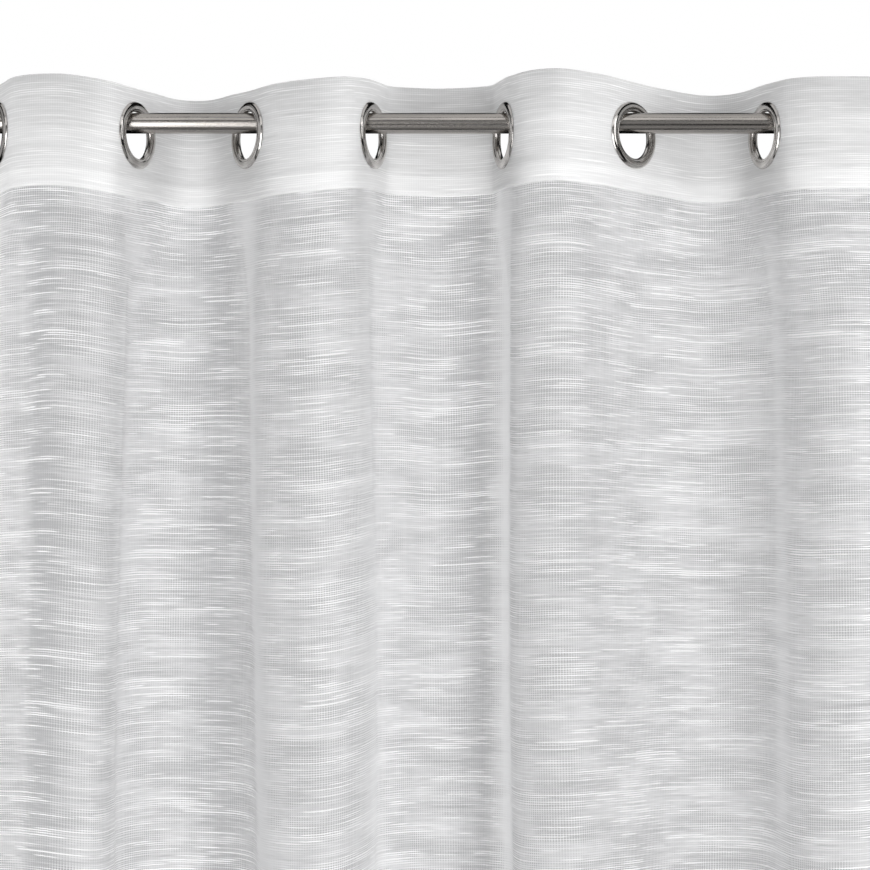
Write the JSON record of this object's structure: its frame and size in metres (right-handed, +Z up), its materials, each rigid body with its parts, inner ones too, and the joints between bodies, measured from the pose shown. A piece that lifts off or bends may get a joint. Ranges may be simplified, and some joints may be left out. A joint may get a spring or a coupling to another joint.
{
  "type": "sheer voile eyelet curtain with its curtain rod",
  "caption": "Sheer slub voile curtain hanging in soft folds from round metal eyelets threaded on a plain straight rod.",
  "frame": {"origin": "on the rod's axis, halfway along the rod, where the brackets' support is taken to act", "axes": "+X along the rod, to the right as seen from the room; +Y away from the room, towards the window; +Z up"},
  "size_m": [1.12, 0.1405, 2.4095],
  "materials": {
    "voile": "off-white open slub weave, matt, see-through",
    "heading": "the same voile doubled over a stiff white tape, matt, opaque",
    "eyelet": "polished nickel plate",
    "rod": "satin nickel plate, brushed along its length"
  },
  "bodies": {
    "root": {"rod": "rod", "heading_band": "heading", "voile_panel": "voile", "eyelet_front_1": "eyelet", "eyelet_front_2": "eyelet", "eyelet_front_3": "eyelet", "eyelet_front_4": "eyelet", "eyelet_front_5": "eyelet", "eyelet_front_6": "eyelet", "eyelet_front_7": "eyelet", "eyelet_front_8": "eyelet", "eyelet_back_1": "eyelet", "eyelet_back_2": "eyelet", "eyelet_back_3": "eyelet", "eyelet_back_4": "eyelet", "eyelet_back_5": "eyelet", "eyelet_back_6": "eyelet", "eyelet_back_7": "eyelet", "eyelet_back_8": "eyelet"}
  },
  "joints": []
}
